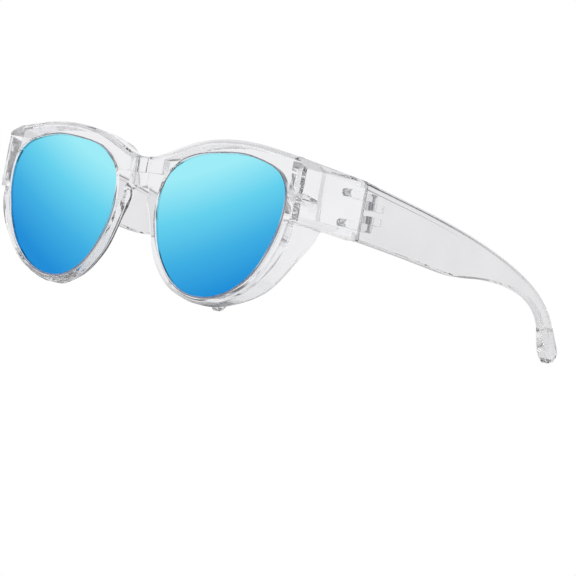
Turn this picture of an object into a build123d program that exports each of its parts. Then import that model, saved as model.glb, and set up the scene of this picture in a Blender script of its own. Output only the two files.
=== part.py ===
from build123d import *
import os
from math import atan2, degrees, radians, tan

# Fit-over sunglasses in clear plastic with mirror lenses, standing open on a table.
# Units are millimetres. X runs from the wearer's right to left, Y from the face of
# the front towards the temple tips, Z up. The pieces are first built upright about the
# middle of the face, at the height of the lens centres, and then seated on the table.

# Front moulding
front_width = 145.6
face_radius = 800.0
face_thickness = 3.6
brow_height = 31.4
chin_depth = 28.8
wall = 1.9
shield_depth = 19.8
edge_bevel = 1.7
corner_inset = 1.5
brow_slope_share = 0.165
side_reach = 4.0
overrun = 30.0

# Bridge
bridge_height = 21.5
bridge_arch = 10.2
bridge_half = 8.8
scoop_radius = 9.0
scoop_depth = 1.4

# Lenses and their grooves
lens_width = 56.0
lens_height = 52.0
lens_spacing = 78.0
lens_recess = 1.0
lens_thickness = 1.6
lens_bite = 0.5
lens_clearance = 0.06

# End pieces, which run back from the corners to the joints
splay = 5.0
joint_depth = 37.2
joint_top = 25.5
joint_bottom = 3.8
corner_top = 27.5
corner_bottom = 4.8
corner_depth = 3.7
side_wall = 2.4
flange_width = 7.4
flange_thickness = 3.0
recess_depth = 16.5
recess_radius = 2.5
joint_gap = 0.3

# Where the brow turns into an end piece: the upright corner is cut off, the outer edge of
# the top falls away from it to the joint, and the brow covers the end piece's first stretch.
corner_cut = 0.9
shoulder_drop = 3.4
shoulder_rise = 0.85
cover_depth = 9.7

# Hinges, one above and one below at each joint
axis_behind_joint = 7.0
knuckle_radius = 2.0
knuckle_gap = 0.3
lug_height = 2.8
tab_height = 2.8
tab_gap = 0.2
lug_length = 7.2
upper_lug_top = 21.8
lower_lug_bottom = 8.0
tab_root = 5.0
screw_radius = 0.8
screw_clearance = 0.05
head_radius = 1.4
head_height = 0.7
slot_width = 0.4
slot_depth = 0.3

# Temples
temple_length = 124.8
temple_drop = 49.0
temple_thickness = 4.0
temple_bevel = 0.7
panel_border = 2.2
panel_length = 60.0
tip_thickness = 6.4
tip_bevel = 1.5

# Outline points as shares. The brow runs from the middle of the bridge to the corner,
# as shares of half the front's width and of the brow's height. The cheek runs from under
# the end piece round the chin to the nose, as shares of half the width and the chin's depth.
brow_shares = [(0.095, 0.72), (0.19, 0.815), (0.33, 0.932), (0.47, 0.987), (0.6, 1.0),
               (0.74, 0.975)]
cheek_shares = [(0.968, 0.0), (0.921, -0.29), (0.855, -0.535), (0.775, -0.74),
                (0.66, -0.9), (0.49, -1.0), (0.375, -0.935), (0.281, -0.824), (0.21, -0.65),
                (0.16, -0.466), (0.11, -0.122), (0.075, 0.1), (0.056, 0.235)]
back_upper_shares = [(0.09, 0.28), (0.17, 0.5), (0.3, 0.54), (0.48, 0.55), (0.66, 0.6),
                     (0.85, 0.73), (1.08, 1.12)]
back_lower_shares = [(0.12, 0.178), (0.22, 0.18), (0.32, 0.22), (0.48, 0.41), (0.66, 0.585),
                     (0.85, 0.74), (0.925, 0.8), (0.963, 0.94), (0.985, 1.2)]

# A curve that runs beside another one is drawn through this many places.
beside_steps = 10

# The lens outline about its centre, as shares of half its width and height.
lens_shares = [(0.935, 0.0), (0.97, 0.59), (0.52, 0.955), (0.0, 1.0), (-0.5, 0.93),
               (-0.95, 0.6), (-1.0, 0.0), (-0.83, -0.52), (-0.49, -0.9), (0.0, -0.995),
               (0.44, -0.83), (0.745, -0.47)]

# The temple seen from the side, as shares of its length and of its drop below the joint.
temple_top_shares = [(0.14, 0.046), (0.37, 0.126), (0.525, 0.198), (0.693, 0.306), (0.826, 0.433),
                     (0.905, 0.56), (0.952, 0.7), (0.965, 0.84)]
temple_bottom_shares = [(0.928, 0.86), (0.908, 0.75), (0.88, 0.648), (0.786, 0.522), (0.66, 0.484),
                        (0.55, 0.494), (0.475, 0.514), (0.325, 0.498), (0.175, 0.469)]
tip_shares = [(0.9065, 0.72), (0.9555, 0.72), (0.9965, 0.885), (1.0, 0.93), (0.9885, 0.978),
              (0.967, 1.0), (0.9455, 0.965), (0.9325, 0.92), (0.9225, 0.84)]

# Sizes worked out from the ones above
half_width = front_width / 2
shift_per_depth = tan(radians(splay))
joint_x = half_width + (joint_depth - corner_depth) * shift_per_depth
joint_corner_drop = corner_top - joint_top - (joint_x - half_width) * brow_slope_share
arm_rise = joint_corner_drop / (joint_depth - corner_depth)
arm_fall = (corner_bottom - joint_bottom) / (joint_depth - corner_depth)
bridge_middle = (bridge_arch + bridge_height) / 2
front_view = Plane.XZ
side_view = Plane.YZ
side_skin = Plane((joint_x, joint_depth, 0), x_dir=(shift_per_depth, 1, 0),
                  z_dir=(1, -shift_per_depth, 0))
joint_face = Plane((joint_x, joint_depth, 0), x_dir=(1, -shift_per_depth, 0),
                   z_dir=(-shift_per_depth, -1, 0))
corner_plane = Plane((half_width - corner_cut, corner_depth, 0), x_dir=(1, 1, 0), z_dir=(1, -1, 0))
shoulder_fall = (corner_top - shoulder_drop - joint_top + temple_bevel) / (joint_depth - corner_depth)
shoulder_plane = Plane((half_width, corner_depth, corner_top - shoulder_drop),
                       x_dir=(-1, 0, shoulder_rise),
                       z_dir=(shoulder_rise, shoulder_fall - shoulder_rise * shift_per_depth, 1))
recess_front = Plane((half_width, recess_depth, 0), x_dir=(1, -shift_per_depth, 0),
                     z_dir=(shift_per_depth, 1, 0))
side_seat = Pos(joint_x, joint_depth, 0) * Rot(0, 0, -splay)
axis_inset = side_wall + knuckle_gap + knuckle_radius
axis_seat = side_seat * Pos(-axis_inset, axis_behind_joint, 0)
upper_lug_bottom = upper_lug_top - lug_height
lower_lug_top = lower_lug_bottom + lug_height


def brow_line(x):
    """The height of the straight outer stretch of the brow, where it leaves the face."""
    return corner_top + (half_width - x) * brow_slope_share


def beside(curve, distance):
    """A curve of the XY plane, or one that runs at this distance to the right of it."""
    if distance == 0:
        return curve
    shares = [count / beside_steps for count in range(beside_steps + 1)]
    if curve.is_closed:
        shares.pop()
    sides = [curve.tangent_at(share).cross(Vector(0, 0, 1)) * distance for share in shares]
    points = [curve.position_at(share) + side for share, side in zip(shares, sides)]
    return Spline(*points, periodic=curve.is_closed)


def brow_outline(inset):
    """The upper part of the left half of the front: brow, bridge top and corner."""
    joins = half_width - flange_width - wall
    outer = half_width + side_reach
    brow = [(half_width * x, brow_height * z) for x, z in brow_shares]
    top = beside(Spline((0, bridge_height), *brow, (joins, brow_line(joins)),
                        tangents=[(1, 0), (1, -brow_slope_share)]), inset)
    start = top @ 0
    end = top @ 1
    corner = (outer, end.Y - (outer - end.X) * brow_slope_share)
    rest = Polyline(end, corner, (outer, bridge_middle), (0, bridge_middle), start)
    return front_view * make_face([top, rest])


def cheek_outline(inset):
    """The lower part: side shield, cheek, chin, nose and the arch under the bridge."""
    shield_side = half_width - corner_inset
    cheek = [(half_width * x, chin_depth * z) for x, z in cheek_shares]
    bottom = beside(Spline((shield_side, corner_bottom), *cheek, (0, bridge_arch),
                           tangents=[(-0.2, -1), (-1, 0)]), inset)
    start = bottom @ 0
    meets = bridge_middle + wall
    rest = Polyline(bottom @ 1, (0, meets), (start.X, meets), start)
    return front_view * make_face([bottom, rest])


def lens_outline(growth):
    """The opening of the left lens, seen from the front, or a lens that reaches past it."""
    points = [(lens_spacing / 2 + x * lens_width / 2, z * lens_height / 2) for x, z in lens_shares]
    return front_view * make_face(beside(Spline(*points, periodic=True), growth))


def prism(face, start, end):
    """A face of the front view drawn out from one depth to another."""
    return extrude(Pos(0, start, 0) * face, -(end - start))


def ball(depth):
    """The ball whose skin lies at this depth behind the face."""
    return Pos(0, face_radius, 0) * Sphere(face_radius - depth)


def sunk_prism(face, start, end):
    """A face of the front view drawn back while it sinks as fast as the end pieces do."""
    lift = (corner_depth - start) * arm_rise
    return extrude(Pos(0, start, lift) * face, end - start, dir=(0, 1, -arm_rise))


def behind(shares, bottom, top):
    """The space behind the back edge of the front, between two heights."""
    points = [(half_width * x, shield_depth * y) for x, y in shares]
    first = (0, points[0][1])
    edge = Spline(first, *points)
    far = (points[-1][0], shield_depth + overrun)
    near = (0, shield_depth + overrun)
    back = Polyline(edge @ 1, far, near, first)
    return Pos(0, 0, bottom) * extrude(make_face([edge, back]), top - bottom)


def arm(inset, outer, inner):
    """An end piece with its edges moved in, between two places in from its outer face."""
    start = corner_depth - overrun
    left = half_width - inner - overrun
    right = half_width + side_reach
    low = corner_bottom - overrun
    section = Polyline((left, low), (right, low), (right, brow_line(right) - inset),
                       (left, brow_line(left) - inset), close=True)
    body = sunk_prism(front_view * make_face(section), start, joint_depth + overrun)
    foot = Plane((0, corner_depth, corner_bottom + inset), x_dir=(1, 0, 0), z_dir=(0, arm_fall, 1))
    body = split(body, foot, keep=Keep.TOP)
    body = split(body, side_skin.offset(-outer), keep=Keep.BOTTOM)
    return split(body, side_skin.offset(-inner), keep=Keep.TOP)


def on_face(edge):
    """True for an edge that lies on the front's outer face."""
    centre = Vector(0, face_radius, 0)
    places = [(edge.position_at(share) - centre).length for share in (0.1, 0.5, 0.9)]
    return all(abs(place - face_radius) < face_radius / 10000 for place in places)


def longest(edges):
    """The longest of some edges."""
    return max(edges, key=lambda edge: edge.length)


def with_shoulder(block):
    """A block with its upright corner and the outer edge of its top cut off."""
    block = split(block, corner_plane, keep=Keep.BOTTOM)
    return split(block, shoulder_plane, keep=Keep.BOTTOM)


def brow_block():
    """The solid brow, with its upper edge bevelled and its corner cut off."""
    block = sunk_prism(brow_outline(0), -2 * corner_depth, shield_depth + overrun) & ball(0)
    block -= behind(back_upper_shares, 0, brow_height + overrun)
    block = split(block, side_skin, keep=Keep.BOTTOM)
    upper = [edge for edge in block.edges() if on_face(edge) and edge.position_at(0.5).Z > bridge_height]
    return with_shoulder(chamfer(longest(upper), edge_bevel))


def cheek_block():
    """The solid lower part with its bevelled lower edge."""
    block = prism(cheek_outline(0), -2 * corner_depth, shield_depth + overrun) & ball(0)
    block -= behind(back_lower_shares, -chin_depth - overrun, brow_height)
    lower = [edge for edge in block.edges() if on_face(edge) and edge.position_at(0.5).Z < 0]
    return chamfer(longest(lower), edge_bevel)


def end_piece():
    """The solid end piece, cut back where the brow covers it."""
    block = split(arm(0, 0, flange_width), joint_face.offset(joint_gap / 2), keep=Keep.TOP) & ball(0)
    block = with_shoulder(block)
    ahead = Box(4 * half_width, overrun, overrun, align=(Align.CENTER, Align.MAX, Align.MIN))
    return block - Pos(0, cover_depth, bridge_middle) * ahead


def front_block():
    """The left half of the front with its outer edges finished, still solid inside."""
    return brow_block() + cheek_block() + end_piece()


def window(left, low, high):
    """A part of the front view, from one place across to past the side, between two heights."""
    right = half_width + overrun
    corners = Polyline((left, low), (right, low), (right, high), (left, high), close=True)
    return front_view * make_face(corners)


def recess():
    """The hollow along the inside of the end piece, with a rounded corner at its front."""
    hollow = split(arm(flange_thickness, side_wall, flange_width + wall), recess_front, keep=Keep.TOP)
    front = hollow.faces().sort_by(Axis.Y)[0]
    return fillet(front.edges().sort_by(Axis.X)[-1], recess_radius)


def front_pockets():
    """What is hollow behind the face and along the inside of the end piece."""
    inner = brow_outline(wall) + cheek_outline(wall)
    inner &= window(bridge_half, -2 * chin_depth, 2 * brow_height)
    upper = inner & window(0, bridge_middle, 2 * brow_height)
    middle = inner & window(0, corner_bottom, bridge_middle + wall)
    lower = inner & window(0, -2 * chin_depth, corner_bottom)
    depth = shield_depth + overrun
    behind_brow = sunk_prism(upper, 0, depth) + prism(middle, 0, depth)
    behind_brow = split(behind_brow, side_skin.offset(-flange_width), keep=Keep.BOTTOM)
    return ((behind_brow + prism(lower, 0, depth)) & ball(face_thickness)) + recess()


def lens_seat():
    """The opening in the face and the groove that holds the lens."""
    opening = prism(lens_outline(0), -overrun, overrun)
    groove = prism(lens_outline(lens_bite + lens_clearance), -overrun, overrun)
    front = lens_recess - lens_clearance
    back = lens_recess + lens_thickness + lens_clearance
    return opening + ((groove & ball(front)) - ball(back))


def bridge_scoop():
    """The hollow down the middle of the bridge's front."""
    return Pos(0, scoop_depth - scoop_radius, 0) * Cylinder(scoop_radius, 4 * bridge_height)


def lug(bottom):
    """A rib along the inside of the end piece that ends in a hinge knuckle behind the joint."""
    front = axis_behind_joint + lug_length - lug_height / 2
    reach = axis_inset - side_wall / 2
    profile = Pos(-front / 2, 0) * Rectangle(front, lug_height) + Pos(-front, 0) * Circle(lug_height / 2)
    rib = extrude(side_view * profile, reach + knuckle_radius)
    rib = Pos(-knuckle_radius, 0, 0) * rib
    clear = Box(2 * reach, 2 * (axis_behind_joint + joint_gap / 2), 2 * lug_height,
                align=(Align.MIN, Align.CENTER, Align.CENTER))
    rib -= Pos(knuckle_radius, 0, 0) * clear
    knuckle = Cylinder(knuckle_radius, lug_height)
    return axis_seat * Pos(0, 0, bottom + lug_height / 2) * (rib + knuckle)


def bore(radius, bottom, top):
    """A round hole on the hinge axis for a screw's shank or head of this radius."""
    hole = Cylinder(radius + screw_clearance, top - bottom, align=(Align.CENTER, Align.CENTER, Align.MIN))
    return axis_seat * Pos(0, 0, bottom) * hole


def front_half():
    """The left half of the clear front moulding."""
    half = front_block() - front_pockets() - lens_seat() - bridge_scoop()
    half += lug(upper_lug_bottom) + lug(lower_lug_bottom)
    half -= bore(screw_radius, lower_lug_bottom, upper_lug_top)
    half -= bore(head_radius, upper_lug_top - head_height, upper_lug_top + wall)
    return half - bore(head_radius, lower_lug_bottom - wall, lower_lug_bottom + head_height)


def lens():
    """The left lens, a shell cut to the groove less its clearance."""
    blank = prism(lens_outline(lens_bite), -overrun, overrun)
    return (blank & ball(lens_recess)) - ball(lens_recess + lens_thickness)


def temple_place(shares):
    """A point of the temple's side view, from its shares."""
    return (temple_length * shares[0], joint_top - temple_drop * shares[1])


def temple_outline(inset):
    """The temple's blade seen from the side, from ahead of the joint into the tip."""
    top = beside(Spline((0, joint_top), *[temple_place(pair) for pair in temple_top_shares]), inset)
    bottom = beside(Spline(*[temple_place(pair) for pair in temple_bottom_shares], (0, joint_bottom)), inset)
    high = top @ 0
    low = bottom @ 1
    ahead = Polyline(low, (-overrun, low.Y), (-overrun, high.Y), high)
    return side_view * make_face([top, Line(top @ 1, bottom @ 0), bottom, ahead])


def temple_tip():
    """The thicker, faceted end of a temple that rests on the table."""
    outline = side_view * make_face(Polyline(*[temple_place(pair) for pair in tip_shares], close=True))
    tip = Pos(-(temple_thickness + tip_thickness) / 2, 0, 0) * extrude(outline, tip_thickness)
    rims = [edge for face in (tip.faces().sort_by(Axis.X)[0], tip.faces().sort_by(Axis.X)[-1])
            for edge in face.edges()]
    return chamfer(rims, tip_bevel)


def tab(bottom):
    """A hinge knuckle of the temple, next to the lug, with its web to the temple's wall."""
    reach = axis_inset - side_wall / 2
    web = Pos(0, -knuckle_radius) * Rectangle(reach, knuckle_radius + tab_root, align=(Align.MIN, Align.MIN))
    plate = extrude(Circle(knuckle_radius) + web, tab_height)
    return axis_seat * Pos(0, 0, bottom) * plate


def temple_blade():
    """The temple from the joint into the tip, with bevelled edges and a sunk inner panel."""
    blade = Pos(-temple_thickness, 0, 0) * extrude(temple_outline(0), temple_thickness)
    blade = split(blade, Plane.XZ.offset(-joint_gap / 2), keep=Keep.BOTTOM)
    flanks = [blade.faces().sort_by(Axis.X)[0], blade.faces().sort_by(Axis.X)[-1]]
    rims = [edge for face in flanks for edge in face.edges() if edge.length > temple_length / 2]
    blade = chamfer(rims, temple_bevel)
    deep = 2 * temple_thickness
    slope = Polyline((-side_wall, -overrun), (-side_wall, 0), (-temple_thickness, panel_length),
                     (-deep, panel_length), (-deep, -overrun), close=True)
    wedge = Pos(0, 0, -temple_drop) * extrude(make_face(slope), 2 * temple_drop)
    panel = Pos(-deep, 0, 0) * extrude(temple_outline(panel_border), deep)
    return blade - (panel & wedge)


def temple():
    """The left temple: blade, tip and hinge tabs."""
    whole = side_seat * (temple_blade() + temple_tip())
    whole += tab(upper_lug_bottom - tab_gap - tab_height) + tab(lower_lug_top + tab_gap)
    return whole - bore(screw_radius, lower_lug_bottom, upper_lug_top)


def screw(seat_height, direction):
    """A hinge screw whose head is sunk in a lug and whose shank runs through lug and tab."""
    length = lug_height - head_height + tab_gap + tab_height
    shank = Pos(0, 0, -length) * Cylinder(screw_radius, length, align=(Align.CENTER, Align.CENTER, Align.MIN))
    head = Cylinder(head_radius, head_height, align=(Align.CENTER, Align.CENTER, Align.MIN))
    slot = Pos(0, 0, head_height) * Box(2 * head_radius, slot_width, 2 * slot_depth)
    body = shank + head - slot
    if direction < 0:
        body = Rot(180, 0, 0) * body
    return axis_seat * Pos(0, 0, seat_height) * body


def side_pieces():
    """The left side's pieces, upright about the middle of the face."""
    return {
        "lens_{}": lens(),
        "temple_{}": temple(),
        "hinge_screw_{}_upper": screw(upper_lug_top - head_height, 1),
        "hinge_screw_{}_lower": screw(lower_lug_bottom + head_height, -1),
    }


def upright_pieces():
    """Every piece by name, upright about the middle of the face."""
    half = front_half()
    pieces = {"front_frame": half + mirror(half, Plane.YZ)}
    for name, shape in side_pieces().items():
        pieces[name.format("left")] = shape
        pieces[name.format("right")] = mirror(shape, Plane.YZ)
    return pieces


def table_tilt(front, side):
    """The angle at which the chin and the temple tips reach down to the same level."""
    tilt = 0
    for _ in range(4):
        lows = [(Rot(-tilt, 0, 0) * piece).bounding_box().min.Z for piece in (front, side)]
        tilt += degrees(atan2(lows[1] - lows[0], joint_depth + temple_length))
    return tilt


def table_seat(pieces):
    """The move that stands the pieces on the table, centred over the origin."""
    tilt = Rot(-table_tilt(pieces["front_frame"], pieces["temple_left"]), 0, 0)
    box = Compound(children=[tilt * piece for piece in pieces.values()]).bounding_box()
    return Pos(0, -(box.min.Y + box.max.Y) / 2, -box.min.Z) * tilt


pieces = upright_pieces()
seat = table_seat(pieces)
os.makedirs("parts", exist_ok=True)
for name, shape in pieces.items():
    export_step(seat * shape, "parts/" + name + ".step")
hinge = seat * axis_seat
print("left hinge axis passes", [round(part, 3) for part in hinge.position], "mm")
print("tilted back on the table by", round(-hinge.orientation.X, 4), "degrees")
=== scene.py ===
# %% [markdown]
# # Fit-over sunglasses in clear plastic
#
# A fit-over is a large pair of sunglasses that is worn over a person's own glasses. This one has
# a front and two temples moulded in clear plastic, two mirror lenses and four small steel screws.
# The shapes come from the CAD model, which is loaded as a fixed frame. Blender adds what CAD
# can't show: how light goes through clear plastic, how a mirror coating colours what it
# reflects, and how turned steel shines.

# %% Load the frame
import math
from collections import Counter

import bmesh
import bpy
import numpy as np
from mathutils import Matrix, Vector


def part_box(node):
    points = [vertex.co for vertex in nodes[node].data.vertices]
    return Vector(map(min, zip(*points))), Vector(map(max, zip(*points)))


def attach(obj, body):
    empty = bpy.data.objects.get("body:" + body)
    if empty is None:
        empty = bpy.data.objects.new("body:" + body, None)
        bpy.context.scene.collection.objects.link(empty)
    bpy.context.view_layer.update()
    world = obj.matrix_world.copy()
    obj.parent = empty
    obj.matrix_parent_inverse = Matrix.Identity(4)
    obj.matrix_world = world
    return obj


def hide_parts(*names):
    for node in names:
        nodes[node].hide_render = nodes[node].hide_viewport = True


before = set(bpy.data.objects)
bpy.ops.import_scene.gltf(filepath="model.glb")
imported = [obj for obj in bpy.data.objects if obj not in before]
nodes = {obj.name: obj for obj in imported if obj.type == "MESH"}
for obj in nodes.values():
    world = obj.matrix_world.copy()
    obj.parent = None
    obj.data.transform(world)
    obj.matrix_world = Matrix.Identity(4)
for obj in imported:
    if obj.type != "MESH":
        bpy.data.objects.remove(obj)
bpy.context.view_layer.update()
print("nodes:", ", ".join(sorted(nodes)))

# %% [markdown]
# ## Colours
#
# A paint chart gives colours as sRGB hex values, but a renderer adds up light, so it needs the
# linear value behind each one. The conversion is a short formula, and writing it once keeps every
# colour below readable.

# %% From hex to light
MILLIMETRE = 0.001
WHITE = (1, 1, 1, 1)


def linear(hex_colour):
    """The linear colour, with full opacity, of an sRGB hex value such as "#8FE6F5"."""
    parts = [int(hex_colour[place:place + 2], 16) / 255 for place in (1, 3, 5)]
    return [part / 12.92 if part <= 0.04045 else ((part + 0.055) / 1.055) ** 2.4
            for part in parts] + [1.0]


print("middle grey as linear light:", round(linear("#808080")[0], 3))

# %% [markdown]
# ## Nodes
#
# A material is a tree of nodes. One small function can add any node with its settings and links,
# while a function for each kind of node would say the same thing many times over. Every
# material also starts from an empty tree and ends at the surface, and most of them mix two
# near colours, because no real surface is quite even.

# %% A few small helpers
def add_node(tree, kind, settings=None, links=None):
    """Add a node. Settings are sockets or properties, links are sockets fed by an output."""
    node = tree.nodes.new(kind)
    for key, value in (settings or {}).items():
        if isinstance(key, int) or key in node.inputs:
            node.inputs[key].default_value = value
        else:
            setattr(node, key, value)
    for key, output in (links or {}).items():
        tree.links.new(output, node.inputs[key])
    return node


def start_material(name):
    """A new material with nothing in it, and the tree that its nodes go into."""
    material = bpy.data.materials.new(name)
    material.use_nodes = True
    material.node_tree.nodes.clear()
    return material, material.node_tree


def finish_material(tree, shader):
    """Connect the shader to the surface."""
    add_node(tree, "ShaderNodeOutputMaterial", links={"Surface": shader.outputs[0]})


def two_colours(dark, light):
    """The settings of a mix between two hex colours."""
    return {"data_type": "RGBA", 6: linear(dark), 7: linear(light)}


print("a mix of two greys starts at", round(two_colours("#F2F2F2", "#F6F6F6")[6][0], 3))

# %% [markdown]
# ## A pattern for each size
#
# A moulded surface isn't perfect. Plastic that flows into a mould cools in soft waves one or two
# centimetres long, and polishing leaves a skin of much finer ripples. Both are noise textures on
# Object coordinates, so they stay fixed to the piece from any side. The scale of a noise texture
# is one over the size of its features, so it is worked out from a real size in millimetres. Nearly
# all of a noise lies in the middle of its range, so that part is stretched to the two ends wanted.

# %% Noise of a real size
NOISE_MIDDLE = {"From Min": 0.3, "From Max": 0.7}


def add_noise(tree, size, detail):
    """Soft noise whose features are about this many millimetres across."""
    place = add_node(tree, "ShaderNodeTexCoord")
    noise = add_node(tree, "ShaderNodeTexNoise",
                     {"Scale": 1 / (size * MILLIMETRE), "Detail": detail, "Roughness": 0.5},
                     {"Vector": place.outputs["Object"]})
    return noise.outputs[0]


print("a pattern of 14 mm has a noise scale of", round(1 / (14 * MILLIMETRE), 1))

# %% [markdown]
# ## Where the plastic looks different
#
# Two kinds of faces on the plastic pieces stand out in the picture. The end faces at the joint
# and in the end piece look forward or back. The long edges of a temple, and the steps of its sunk
# panel, look neither left nor right, and these get painted shade. Both are found by the way they
# face, and the end faces also by where they lie, so no face has to be picked by hand.

# %% Find faces by their direction
SIDES_FROM = 60.0
END_FACES_FROM = -68.0
FACING_AT_LEAST = 0.9
SIDEWAYS_AT_MOST = 0.4
SHADE_FADE_FROM = 10.0
SHADE_FADE_END = 50.0
TIP_SHADE_SHARE = 0.15


def end_faces(tree, turn, spot):
    """One on the end faces of the sides, which look forward or back, and nought elsewhere."""
    facing = add_node(tree, "ShaderNodeMath", {"operation": "ABSOLUTE"}, {0: turn["Y"]})
    beside = add_node(tree, "ShaderNodeMath", {"operation": "ABSOLUTE"}, {0: spot["X"]})
    limits = [(facing.outputs[0], FACING_AT_LEAST), (beside.outputs[0], SIDES_FROM * MILLIMETRE),
              (spot["Y"], END_FACES_FROM * MILLIMETRE)]
    passed = [add_node(tree, "ShaderNodeMath", {"operation": "GREATER_THAN", 1: limit},
                       {0: output}).outputs[0] for output, limit in limits]
    both = add_node(tree, "ShaderNodeMath", {"operation": "MULTIPLY"},
                    {0: passed[0], 1: passed[1]})
    return add_node(tree, "ShaderNodeMath", {"operation": "MULTIPLY"},
                    {0: both.outputs[0], 1: passed[2]}).outputs[0]


def painted_edge_shade(tree, turn, spot):
    """Where painted shade goes: one on faces that look neither left nor right, and less towards the
    tips.
    """
    sideways = add_node(tree, "ShaderNodeMath", {"operation": "ABSOLUTE"}, {0: turn["X"]})
    narrow = add_node(tree, "ShaderNodeMath", {"operation": "LESS_THAN", 1: SIDEWAYS_AT_MOST},
                      {0: sideways.outputs[0]})
    fade = add_node(tree, "ShaderNodeMapRange",
                    {"From Min": SHADE_FADE_FROM * MILLIMETRE, "From Max": SHADE_FADE_END * MILLIMETRE,
                     "To Min": 1.0, "To Max": TIP_SHADE_SHARE}, {"Value": spot["Y"]})
    return add_node(tree, "ShaderNodeMath", {"operation": "MULTIPLY"},
                    {0: narrow.outputs[0], 1: fade.outputs[0]}).outputs[0]


print("end faces lie beyond", SIDES_FROM, "mm to a side and behind", END_FACES_FROM, "mm")

# %% [markdown]
# ## Clear polycarbonate
#
# The front and the temples are injection-moulded polycarbonate. It has no colour of its own, and
# the eye sees it by its edges: they bend the view behind them and show thin dark lines. Its
# walls also take a little of the light, so two walls in a row look greyer than one. A glass
# shader with a mix to transparent would be quicker, but its edges would stay empty. So this is
# one Principled shader with full transmission and the index of polycarbonate, in a very pale
# grey. The waves from the flow of the plastic bend the edge lines very slightly, and a faint haze
# varies over one or two centimetres. A temple's long narrow edges get painted shade, a much darker
# grey in their colour that stands in for the dark lines there. It fades towards the tips,
# which are lighter in the picture. The temples as a whole are a darker grey copy of the same
# plastic, which is painted shade too. The end faces would mirror the dark back of a lens through
# the side wall, as broad bars, so they are a little matt and partly let the light straight
# through.

# %% The clear plastic
PLASTIC_INDEX = 1.586
FLOW_WAVE = 14.0
POLISH_RIPPLE = 1.5
END_GRAIN = 0.3
END_CLEARNESS = 0.7


def clear_plastic(name, dark, light, edge_shade_colour):
    """Clear moulded plastic in a narrow range of tints, with painted shade in another tint on long
    edges.
    """
    material, tree = start_material(name)
    flow = add_noise(tree, FLOW_WAVE, 1.0)
    polish = add_noise(tree, POLISH_RIPPLE, 2.0)
    place = add_node(tree, "ShaderNodeTexCoord")
    turn, spot = [add_node(tree, "ShaderNodeSeparateXYZ", links={0: place.outputs[kind]}).outputs
                  for kind in ("Normal", "Object")]
    haze = add_node(tree, "ShaderNodeMapRange", {**NOISE_MIDDLE, "To Min": 0.0, "To Max": 1.0},
                    {"Value": flow})
    tint = add_node(tree, "ShaderNodeMix", two_colours(dark, light), {0: haze.outputs[0]})
    # Painted shade: the long edges get the darker edge colour.
    shade = add_node(tree, "ShaderNodeMix", {"data_type": "RGBA", 7: linear(edge_shade_colour)},
                     {0: painted_edge_shade(tree, turn, spot), 6: tint.outputs[2]})
    ends = end_faces(tree, turn, spot)
    polished = add_node(tree, "ShaderNodeMapRange",
                        {**NOISE_MIDDLE, "To Min": 0.0, "To Max": 0.03}, {"Value": polish})
    gloss = add_node(tree, "ShaderNodeMath", {"operation": "MULTIPLY_ADD", 1: END_GRAIN},
                     {0: ends, 2: polished.outputs[0]})
    waves = add_node(tree, "ShaderNodeBump", {"Strength": 0.15, "Distance": 0.02 * MILLIMETRE},
                     {"Height": flow})
    shader = add_node(tree, "ShaderNodeBsdfPrincipled",
                      {"IOR": PLASTIC_INDEX, "Transmission Weight": 1.0},
                      {"Base Color": shade.outputs[2], "Roughness": gloss.outputs[0],
                       "Normal": waves.outputs[0]})
    clear = add_node(tree, "ShaderNodeBsdfTransparent")
    passed = add_node(tree, "ShaderNodeMath", {"operation": "MULTIPLY", 1: END_CLEARNESS},
                      {0: ends})
    mixed = add_node(tree, "ShaderNodeMixShader",
                     links={0: passed.outputs[0], 1: shader.outputs[0], 2: clear.outputs[0]})
    finish_material(tree, mixed)
    return material


front_plastic = clear_plastic("clear_polycarbonate_front", "#F4F4F7", "#F8F8FA", "#F6F6F8")
# The temple copy is darker than the front's, which is painted shade, and its long edges get a much
# darker painted shade.
shaded_temple_plastic = clear_plastic("clear_polycarbonate_temple_painted_shade", "#E7E6E8", "#ECEBED", "#606068")
print(front_plastic.name, "has", len(front_plastic.node_tree.nodes), "nodes")

# %% [markdown]
# ## The colour of the mirror coating, with a painted reflection
#
# A mirror lens is tinted plastic with thin layers of oxide on its front. They reflect one
# colour of light, here blue. Towards the top and the nose the colour goes over to a pale cyan,
# which is a painted reflection of brighter surroundings. A plain blue would miss that. The
# colour is a ramp on one number: the height on the lens less a drop that grows with the
# distance from the nose. A small share of the place across is added as painted reflection,
# because the wearer's left lens is a little paler in the picture.

# %% One number for the place on the lens, and a ramp on it
# The height falls by a share of the distance across and a share of its square. A fixed rise
# makes up for that in the middle of a lens, and the last share adds a little painted reflection on
# one side.
NOSE_SLOPE = 0.23
NOSE_CURVE = 0.003
NOSE_RISE = 12.45
SIDE_REFLECTION_SHARE = 0.05


def painted_reflection_place(tree, middle):
    """Place on the painted reflection's ramp: height above the lens's middle less a drop away from
    the nose, in millimetres.
    """
    place = add_node(tree, "ShaderNodeTexCoord")
    spot = add_node(tree, "ShaderNodeSeparateXYZ", links={0: place.outputs["Object"]}).outputs
    across = add_node(tree, "ShaderNodeMath", {"operation": "ABSOLUTE"}, {0: spot["X"]})
    slope = add_node(tree, "ShaderNodeMath",
                     {"operation": "MULTIPLY_ADD", 1: -NOSE_CURVE / MILLIMETRE, 2: -NOSE_SLOPE},
                     {0: across.outputs[0]})
    drop = add_node(tree, "ShaderNodeMath", {"operation": "MULTIPLY_ADD", 2: -middle},
                    {0: across.outputs[0], 1: slope.outputs[0]})
    aside = add_node(tree, "ShaderNodeMath", {"operation": "MULTIPLY_ADD", 1: SIDE_REFLECTION_SHARE},
                     {0: spot["X"], 2: drop.outputs[0]})
    total = add_node(tree, "ShaderNodeMath", {"operation": "ADD"},
                     {0: aside.outputs[0], 1: spot["Z"]})
    return add_node(tree, "ShaderNodeMath",
                    {"operation": "MULTIPLY_ADD", 1: 1 / MILLIMETRE, 2: NOSE_RISE},
                    {0: total.outputs[0]})


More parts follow.
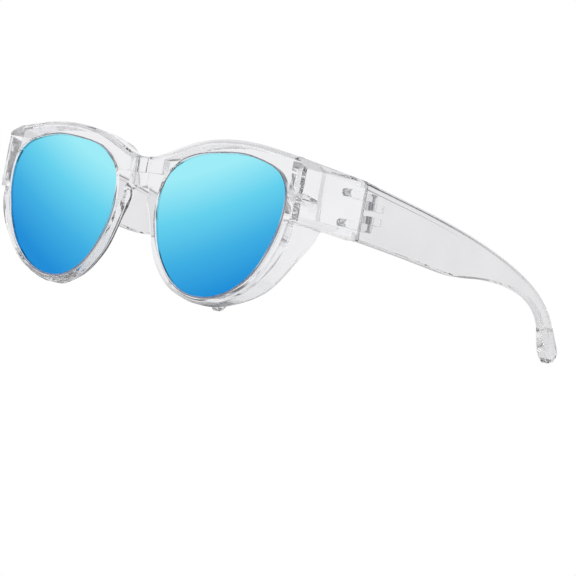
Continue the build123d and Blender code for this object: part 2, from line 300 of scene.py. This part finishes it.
def film_painted_reflection_ramp(tree, height, stops):
    """The film's colour with its painted reflection at each height, straight between stops given in
    millimetres.
    """
    low, high = stops[0][0], stops[-1][0]
    share = add_node(tree, "ShaderNodeMapRange", {"From Min": low, "From Max": high},
                     {"Value": height.outputs[0]})
    ramp = add_node(tree, "ShaderNodeValToRGB", links={0: share.outputs[0]})
    places = ramp.color_ramp.elements
    while len(places) < len(stops):
        places.new(0.5)
    for place, (at, colour) in zip(places, stops):
        place.position = (at - low) / (high - low)
        place.color = linear(colour)
    return ramp


low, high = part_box("lens_left")
lens_middle = (low[2] + high[2]) / 2
print("the lens's middle is", round(lens_middle / MILLIMETRE, 1), "mm above the table")

# %% [markdown]
# ## Mirror film
#
# On a real lens the coating itself is clear, and its colour comes from the thickness of its
# layers. A coat or a film setting in the shader would follow that more closely, but it would
# also change colour with the angle. A metal tints what it reflects by one colour, as the eye
# sees it in the picture, and it keeps the default index. Its colour is the ramp above, which
# paints a reflection that pales towards the top and the nose. The gloss varies a little in
# soft spots, as on a wiped lens.

# %% The mirror film
# Painted reflection: deep blue low on the lens, to pale cyan at the top.
PAINTED_REFLECTION_STOPS = [(-26.0, "#1F8ED8"), (-9.0, "#40B0E3"), (7.0, "#66D1EE"), (23.0, "#9DECF7")]
WIPE_MARKS = 9.0


def mirror_film():
    """Blue mirror film with a painted reflection that pales towards the top and the nose."""
    material, tree = start_material("blue_mirror_film_painted_reflection")
    # The ramp paints a reflection that is paler towards the top and the nose, and a little paler on
    # one side.
    colour = film_painted_reflection_ramp(tree, painted_reflection_place(tree, lens_middle), PAINTED_REFLECTION_STOPS)
    gloss = add_node(tree, "ShaderNodeMapRange",
                     {**NOISE_MIDDLE, "To Min": 0.05, "To Max": 0.09},
                     {"Value": add_noise(tree, WIPE_MARKS, 2.0)})
    shader = add_node(tree, "ShaderNodeBsdfPrincipled", {"Metallic": 1.0},
                      {"Base Color": colour.outputs[0], "Roughness": gloss.outputs[0]})
    finish_material(tree, shader)
    return material


film = mirror_film()
print(film.name, "has", len(film.node_tree.nodes), "nodes")

# %% [markdown]
# ## Smoke lens
#
# Behind its mirror film the lens is smoke-grey polycarbonate. It shows only at its rim, as the
# thin dark line round each lens, and from behind. It is the same shader as the clear plastic,
# with a darker colour, and the dye lies in soft clouds.

# %% The lens under the film
def smoke_plastic():
    """Dyed polycarbonate, as the lenses are made of."""
    material, tree = start_material("smoke_polycarbonate")
    tint = add_node(tree, "ShaderNodeMix", two_colours("#7A7684", "#85818E"),
                    {0: add_noise(tree, FLOW_WAVE, 1.0)})
    shader = add_node(tree, "ShaderNodeBsdfPrincipled",
                      {"IOR": PLASTIC_INDEX, "Transmission Weight": 1.0, "Roughness": 0.05},
                      {"Base Color": tint.outputs[2]})
    finish_material(tree, shader)
    return material


smoke = smoke_plastic()
print(smoke.name, "has", len(smoke.node_tree.nodes), "nodes")

# %% [markdown]
# ## Turned steel
#
# The hinge screws are turned from stainless steel, so their heads carry rings as fine as the
# cutter's feed. Rings of the true size, some hundredths of a millimetre, are too fine to show,
# so they are drawn three times as coarse. They are a fine noise here, which gives the eye the
# same broken glint and works for every screw, wherever it stands.

# %% The screws
RING = 0.15


def turned_steel():
    """Stainless steel with the broken glint of a turned head."""
    material, tree = start_material("turned_stainless_steel")
    rings = add_noise(tree, RING, 2.0)
    tint = add_node(tree, "ShaderNodeMix", two_colours("#C4C6C9", "#DDDEE0"), {0: rings})
    gloss = add_node(tree, "ShaderNodeMapRange",
                     {**NOISE_MIDDLE, "To Min": 0.2, "To Max": 0.35}, {"Value": rings})
    marks = add_node(tree, "ShaderNodeBump", {"Strength": 0.3, "Distance": 0.01 * MILLIMETRE},
                     {"Height": rings})
    shader = add_node(tree, "ShaderNodeBsdfPrincipled", {"Metallic": 1.0},
                      {"Base Color": tint.outputs[2], "Roughness": gloss.outputs[0],
                       "Normal": marks.outputs[0]})
    finish_material(tree, shader)
    return material


steel = turned_steel()
print(steel.name, "has", len(steel.node_tree.nodes), "nodes")

# %% [markdown]
# ## Each piece gets its material
#
# The CAD pieces keep their shapes, and only their material slots change. A name says what a
# piece is, so the first word of it is enough to choose the material.

# %% Dress the pieces
FINISHES = {"front": front_plastic, "temple": shaded_temple_plastic, "lens": smoke, "hinge": steel}
for name, piece in nodes.items():
    piece.data.materials.clear()
    piece.data.materials.append(FINISHES[name.split("_")[0]])
print("dressed", len(nodes), "pieces")

# %% [markdown]
# ## The edge of a lens and the ball it lies on
#
# The next steps need the edge of each lens and the ball that its front is a part of. The edge of
# the front face is where an edge of the mesh belongs to only one of its faces. The ball is found
# from the edge's corners by least squares: a ball's equation is linear in its centre and one more
# number. Its centre lies in the middle plane of the glasses, so only two parts of it are sought.

# %% Measure a lens
FRONT_AT_LEAST = 0.9


def edge_of(lens):
    """The corners round a lens's front face, and their middle."""
    mesh = lens.data
    uses = Counter(key for face in mesh.polygons if face.normal.y < -FRONT_AT_LEAST
                   for key in face.edge_keys)
    rim = {corner for key, count in uses.items() if count == 1 for corner in key}
    edge = np.array([mesh.vertices[corner].co for corner in sorted(rim)])
    return edge, (edge.min(axis=0) + edge.max(axis=0)) / 2


def ball_through(places):
    """Depth and height of the centre of the ball through these places, and its radius."""
    sums = np.column_stack([-2 * places[:, 1], -2 * places[:, 2], np.ones(len(places))])
    depth, height, rest = np.linalg.lstsq(sums, -(places ** 2).sum(axis=1), rcond=None)[0]
    return depth, height, math.sqrt(depth ** 2 + height ** 2 - rest)


def round_waves(angles, count):
    """One column for each cosine and sine wave round a circle, up to this many waves."""
    steps = np.arange(count + 1)
    return np.hstack([np.cos(np.outer(angles, steps)), np.sin(np.outer(angles, steps[1:]))])


both_lenses = {side: nodes["lens_" + side] for side in ("left", "right")}
for side, lens in both_lenses.items():
    print(side, "lens lies on a ball of", round(ball_through(edge_of(lens)[0])[2], 3), "m radius")

# %% [markdown]
# ## The lens opening's temple side
#
# On the pictured glasses each lens opening has a fairly sharp corner high on the temple side and
# runs down from it in an even curve. The CAD opening is up to 1.3 mm off that line there. The
# front and the lenses are therefore shown by copies, in which that stretch is moved in or out
# by the amounts below, read at angles round the lens's middle and joined by smooth waves. The
# move fades out a few millimetres away from the edge and behind the face, so nothing else
# changes, and it keeps each point's distance from the ball's centre, so the face stays a ball.

# %% How far each point moves
EDGE_SHIFTS = [(-52, 0.0), (-40, 0.15), (-30, 0.45), (-22, 0.85), (-14, 0.95), (-7, 0.85),
               (0, 0.2), (7, -0.8), (14, -1.25), (22, -0.9), (31, 0.25), (40, 1.2), (48, 0.95),
               (56, 0.2), (65, 0.0)]
SHIFT_WAVES = 14
SHIFT_STEPS = 72
FULL_REACH = 2.0
LAST_REACH = 4.5
FACE_END = -73.5
SHIFT_END = -66.0


def smooth_shift(angles):
    """The shift at these angles in metres, as a sum of waves through the listed shifts."""
    even = np.linspace(-180, 180, SHIFT_STEPS, endpoint=False)
    listed = np.interp(even, *zip(*EDGE_SHIFTS)) * MILLIMETRE
    waves = round_waves(np.radians(even), SHIFT_WAVES)
    return round_waves(angles, SHIFT_WAVES) @ np.linalg.lstsq(waves, listed, rcond=None)[0]


def turned_to_temple(places, middle):
    """Lengths and angles of places seen from the middle, with the angle nought at the temple."""
    across = math.copysign(1, middle[0]) * (places[:, 0] - middle[0])
    up = places[:, 2] - middle[2]
    return np.hypot(across, up), np.arctan2(up, across)


def moved(places, lens):
    """These places, moved where they lie near the edge of the opening that this lens fills."""
    edge, middle = edge_of(lens)
    edge_lengths, edge_angles = turned_to_temple(edge, middle)
    lengths, angles = turned_to_temple(places, middle)
    gaps = lengths - np.interp(angles, edge_angles, edge_lengths, period=2 * np.pi)
    near = np.interp(abs(gaps) / MILLIMETRE, [FULL_REACH, LAST_REACH], [1, 0])
    ahead = np.interp(places[:, 1] / MILLIMETRE, [FACE_END, SHIFT_END], [1, 0])
    ratio = 1 + smooth_shift(angles) * near * ahead / np.maximum(lengths, MILLIMETRE)
    result = middle + (places - middle) * ratio[:, None]
    centre = np.array([0, *ball_through(edge)[:2]])
    whole = np.linalg.norm(places - centre, axis=1)
    level = np.linalg.norm((result - centre)[:, [0, 2]], axis=1)
    result[:, 1] = centre[1] - np.sqrt(whole ** 2 - level ** 2)
    return result


shifts = smooth_shift(np.radians(np.arange(360))) / MILLIMETRE
print("the edge moves from", round(shifts.min(), 2), "to", round(shifts.max(), 2), "mm")

# %% [markdown]
# ## Copies with the edge moved
#
# A CAD mesh is loose triangles, so each copy's corners are merged. The CAD's shading normals are
# kept, because they follow the true surfaces better than the facets do: smooth shading over
# the merged facets would show bands in clear plastic. Should a sliver vanish in the merge, the
# normals no longer fit the corners one to one, and the copy goes without them.

# %% Show the copies in place of the CAD pieces
MERGE_WITHIN = MILLIMETRE / 10000


def add_object(name, data):
    """A new object in the scene."""
    piece = bpy.data.objects.new(name, data)
    bpy.context.scene.collection.objects.link(piece)
    return piece


def shown_copy(name, new_name, lenses):
    """A merged copy of a CAD piece with its edges moved, which is shown in its stead."""
    mesh = nodes[name].data.copy()
    mesh.name = new_name
    normals = np.empty((len(mesh.loops), 3))
    mesh.corner_normals.foreach_get("vector", normals.ravel())
    places = np.empty((len(mesh.vertices), 3))
    mesh.vertices.foreach_get("co", places.ravel())
    for lens in lenses:
        places = moved(places, lens)
    mesh.vertices.foreach_set("co", places.ravel())
    merged = bmesh.new()
    merged.from_mesh(mesh)
    bmesh.ops.remove_doubles(merged, verts=merged.verts, dist=MERGE_WITHIN)
    merged.to_mesh(mesh)
    merged.free()
    keeps_normals = len(mesh.loops) == len(normals)
    if keeps_normals:
        mesh.normals_split_custom_set(normals)
    piece = add_object(new_name, mesh)
    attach(piece, "front")
    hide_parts(name)
    print(new_name, "has", len(mesh.polygons), "faces and keeps its normals:", keeps_normals)
    return piece


front = shown_copy("front_frame", "front_moulding", both_lenses.values())
shown_lenses = {}
for side, lens in both_lenses.items():
    shown_lenses[side] = shown_copy("lens_" + side, "lens_plate_" + side, [lens])

# %% [markdown]
# ## The mirror film's shape
#
# The film is evaporated onto the lens's front, and it ends where the groove of the front covers
# the lens. It is a few thousandths of a millimetre thick, so a single surface is enough. Its
# rings shrink the lens's own edge towards the middle, and each point's depth follows from the
# lens's ball. The edge is rebuilt from a few waves, so that it is as smooth as a cut one.

# %% Work out the film
FILM_INSET = 0.45
FILM_WAVES = 10
FILM_SPOKES = 180
FILM_LIFT = 0.02
FILM_RINGS = 14


def smooth_spokes(spokes):
    """Points of the film's edge, seen from its middle: the lens's edge without its small waves."""
    angles = np.arctan2(spokes[:, 1], spokes[:, 0])
    lengths = np.linalg.norm(spokes, axis=1)
    shares = np.linalg.lstsq(round_waves(angles, FILM_WAVES), lengths, rcond=None)[0]
    even = np.arange(FILM_SPOKES) * 2 * np.pi / FILM_SPOKES
    shorter = round_waves(even, FILM_WAVES) @ shares - FILM_INSET * MILLIMETRE
    return shorter[:, None] * np.column_stack([np.cos(even), np.sin(even)])


def film_corners(lens):
    """Corners of the film on a lens, ring by ring from its edge, with the middle last.

    A ring is the edge times a share. A corner's depth is the depth of the ball's centre, less
    the root of what the squares of its distances across and up leave of the radius squared.
    """
    edge, middle = edge_of(lens)
    depth, height, radius = ball_through(edge)
    spokes = smooth_spokes((edge - middle)[:, [0, 2]])
    shares = np.linspace(1, 0, FILM_RINGS, endpoint=False)[:, None, None]
    rings = (middle[[0, 2]] + shares * spokes).reshape(-1, 2)
    flat = np.vstack([rings, middle[[0, 2]]])
    lifted = (radius + FILM_LIFT * MILLIMETRE) ** 2
    front_side = depth - np.sqrt(lifted - flat[:, 0] ** 2 - (flat[:, 1] - height) ** 2)
    return np.column_stack([flat[:, 0], front_side, flat[:, 1]])


def film_faces():
    """Four-sided faces between the rings, and triangles from the last ring to the middle."""
    rings = np.arange(FILM_RINGS * FILM_SPOKES).reshape(FILM_RINGS, FILM_SPOKES)
    after = np.roll(rings, -1, axis=1)
    between = np.stack([rings[:-1], after[:-1], after[1:], rings[1:]], axis=-1).reshape(-1, 4)
    hub = np.full(FILM_SPOKES, rings.size)
    inside = np.column_stack([rings[-1], after[-1], hub])
    return between.tolist() + inside.tolist()


print("a film has", len(film_faces()), "faces")

# %% [markdown]
# ## Lay the film on each lens
#
# The two lenses are mirror images, so one film could be made and mirrored. Each film is worked
# out from its own lens instead, so it follows the CAD on both sides and no face turns inside out.
# Each is a piece of its own and rides with the front.

# %% Two films
for side, lens in shown_lenses.items():
    film_mesh = bpy.data.meshes.new("mirror_film_" + side)
    film_mesh.from_pydata(film_corners(lens).tolist(), [], film_faces())
    film_mesh.shade_smooth()
    film_mesh.materials.append(film)
    piece = add_object("mirror_film_" + side, film_mesh)
    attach(piece, "front")
    print(piece.name, "faces forward:", film_mesh.polygons[0].normal.y < 0)

# %% [markdown]
# ## The table
#
# The glasses stand on a pale table. The picture is taken from just below its level, so a
# solid table would hide them. It is therefore a single face that shows only from above: its
# material looks at which side of the face a ray meets, and the lower side lets it through.

# %% A table that shows from above
TABLE_HALF = 0.6
TABLE_GRAIN = 3.0


def pale_table():
    """A pale matt surface that is clear from below."""
    material, tree = start_material("pale_matt_table")
    tint = add_node(tree, "ShaderNodeMix", two_colours("#F2F2F2", "#F6F6F6"),
                    {0: add_noise(tree, TABLE_GRAIN, 3.0)})
    matt = add_node(tree, "ShaderNodeBsdfPrincipled", {"Roughness": 0.8},
                    {"Base Color": tint.outputs[2]})
    clear = add_node(tree, "ShaderNodeBsdfTransparent")
    side = add_node(tree, "ShaderNodeNewGeometry")
    shown = add_node(tree, "ShaderNodeMixShader",
                     links={0: side.outputs["Backfacing"], 1: matt.outputs[0],
                            2: clear.outputs[0]})
    finish_material(tree, shown)
    return material


table_mesh = bpy.data.meshes.new("table")
table_corners = [(TABLE_HALF * across, TABLE_HALF * along, 0)
                 for across, along in ((-1, -1), (1, -1), (1, 1), (-1, 1))]
table_mesh.from_pydata(table_corners, [], [(0, 1, 2, 3)])
table_mesh.materials.append(pale_table())
table = add_object("table", table_mesh)
print("table faces up:", table_mesh.polygons[0].normal.z > 0)

# %% [markdown]
# ## The light around the object
#
# Clear things are lit by what surrounds them. In a room that is white on every side clear
# plastic disappears, so a studio sets a white wall behind it and keeps the rest darker. The
# bent light at the edges then finds the dark parts, and draws the outline. Here the world does
# that by height: white up to some way above the horizon, and darker overhead. Light that comes
# through the plastic is a little weaker than what it mirrors, which makes the walls look pale
# grey. The camera sees plain white behind the object, and matt surfaces are lit evenly.

# %% The world
WALL_TOP = 0.55
CEILING = 0.7
CEILING_LEVEL = 0.15
THROUGH_LEVEL = 0.93
EVEN_LIGHT = 1.0


def studio_world():
    """White for the camera, a white wall and a darker ceiling for glass and gloss."""
    world = bpy.data.worlds.new("studio")
    world.use_nodes = True
    tree = world.node_tree
    tree.nodes.clear()
    place = add_node(tree, "ShaderNodeTexCoord")
    parts = add_node(tree, "ShaderNodeSeparateXYZ", links={0: place.outputs["Generated"]})
    wall = add_node(tree, "ShaderNodeMapRange",
                    {"interpolation_type": "SMOOTHSTEP", "From Min": WALL_TOP,
                     "From Max": CEILING, "To Min": 1.0, "To Max": CEILING_LEVEL},
                    {"Value": parts.outputs["Z"]})
    rays = add_node(tree, "ShaderNodeLightPath").outputs
    through = add_node(tree, "ShaderNodeMapRange", {"To Min": 1.0, "To Max": THROUGH_LEVEL},
                       {"Value": rays["Is Transmission Ray"]})
    level = add_node(tree, "ShaderNodeMath", {"operation": "MULTIPLY"},
                     {0: wall.outputs[0], 1: through.outputs[0]})
    zones = add_node(tree, "ShaderNodeBackground", {"Color": WHITE},
                     {"Strength": level.outputs[0]})
    even = add_node(tree, "ShaderNodeBackground", {"Color": WHITE, "Strength": EVEN_LIGHT})
    white = add_node(tree, "ShaderNodeBackground", {"Color": WHITE, "Strength": 1.0})
    clear_or_gloss = add_node(tree, "ShaderNodeMath", {"operation": "MAXIMUM"},
                              {0: rays["Is Glossy Ray"], 1: rays["Is Transmission Ray"]})
    lit = add_node(tree, "ShaderNodeMixShader",
                   links={0: clear_or_gloss.outputs[0], 1: even.outputs[0], 2: zones.outputs[0]})
    seen = add_node(tree, "ShaderNodeMixShader",
                    links={0: rays["Is Camera Ray"], 1: lit.outputs[0], 2: white.outputs[0]})
    add_node(tree, "ShaderNodeOutputWorld", links={"Surface": seen.outputs[0]})
    return world


scene = bpy.context.scene
scene.world = studio_world()
print("world:", scene.world.name)

# %% [markdown]
# ## The camera
#
# The picture is a product view from the front and the wearer's left, through a long lens from
# about a metre away, held at a slant. A long lens keeps the far side nearly as large as
# the near one. The place, the turn and the focal length are the ones at which the model's
# outline lies on the pictured one, found by a fit to traced points of the outline. Light is
# mirrored many times between the plastic's walls, and a path that is cut short ends in black, so
# the limits on its length are raised.

# %% The camera
CAMERA_PLACE = (0.69225, -0.849738, -0.006331)
CAMERA_TURN = (91.00183, -9.25993, 38.47351)
FOCAL_LENGTH = 177.431
SENSOR_WIDTH = 36.0
LONGEST_PATH = 32
MIRRORED_OR_BENT = 24

camera_lens = bpy.data.cameras.new("camera")
camera_lens.sensor_width = SENSOR_WIDTH
camera_lens.lens = FOCAL_LENGTH
camera = add_object("camera", camera_lens)
camera.location = CAMERA_PLACE
camera.rotation_euler = [math.radians(angle) for angle in CAMERA_TURN]
scene.camera = camera
scene.view_settings.view_transform = "Standard"
scene.cycles.max_bounces = LONGEST_PATH
scene.cycles.glossy_bounces = MIRRORED_OR_BENT
scene.cycles.transmission_bounces = MIRRORED_OR_BENT
print("camera at", [round(part, 3) for part in camera.location])
